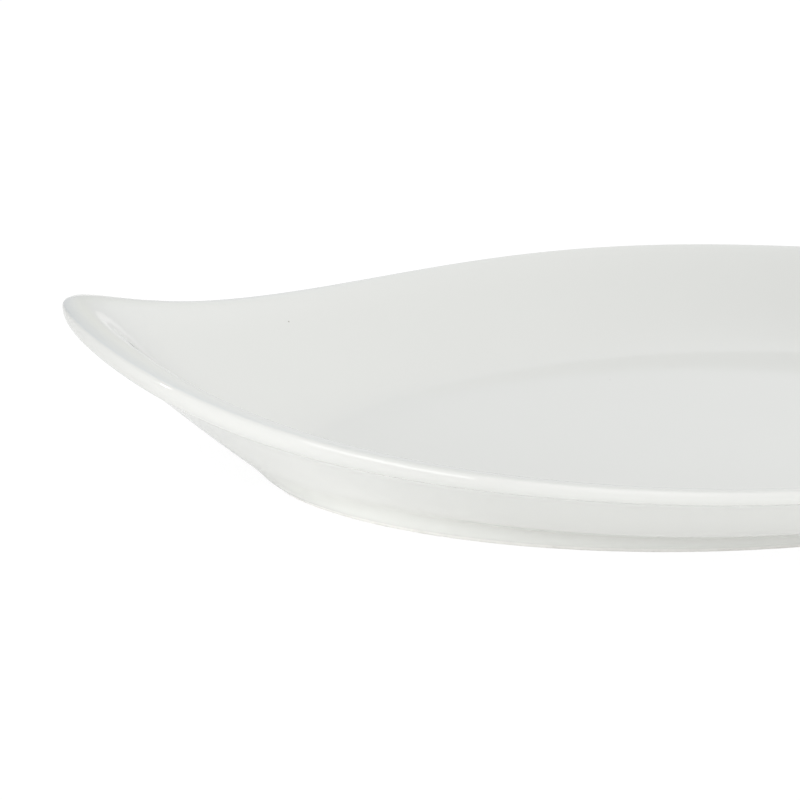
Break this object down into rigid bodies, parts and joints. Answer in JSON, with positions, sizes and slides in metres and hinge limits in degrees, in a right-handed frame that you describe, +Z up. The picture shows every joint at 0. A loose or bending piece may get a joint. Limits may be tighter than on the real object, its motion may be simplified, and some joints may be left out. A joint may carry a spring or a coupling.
{
  "type": "oval plate",
  "caption": "Leaf-shaped oval serving plate in white glazed porcelain, with upswept pointed ends, a rounded rim, a flat well and an oval foot ring.",
  "frame": {"origin": "middle of the standing face, at table level", "axes": "+X from the middle to one tip, +Y across the plate, +Z up out of the well"},
  "size_m": [0.326, 0.2, 0.0492],
  "materials": {
    "biscuit_porcelain": "bare fired porcelain, matt, seen only on the standing ring",
    "white_glaze": "smooth glossy white glaze",
    "underside_glaze": "smooth glossy white glaze"
  },
  "bodies": {
    "root": {"porcelain_body": "biscuit_porcelain", "glaze_coat": "white_glaze", "base_glaze": "underside_glaze"}
  },
  "joints": []
}
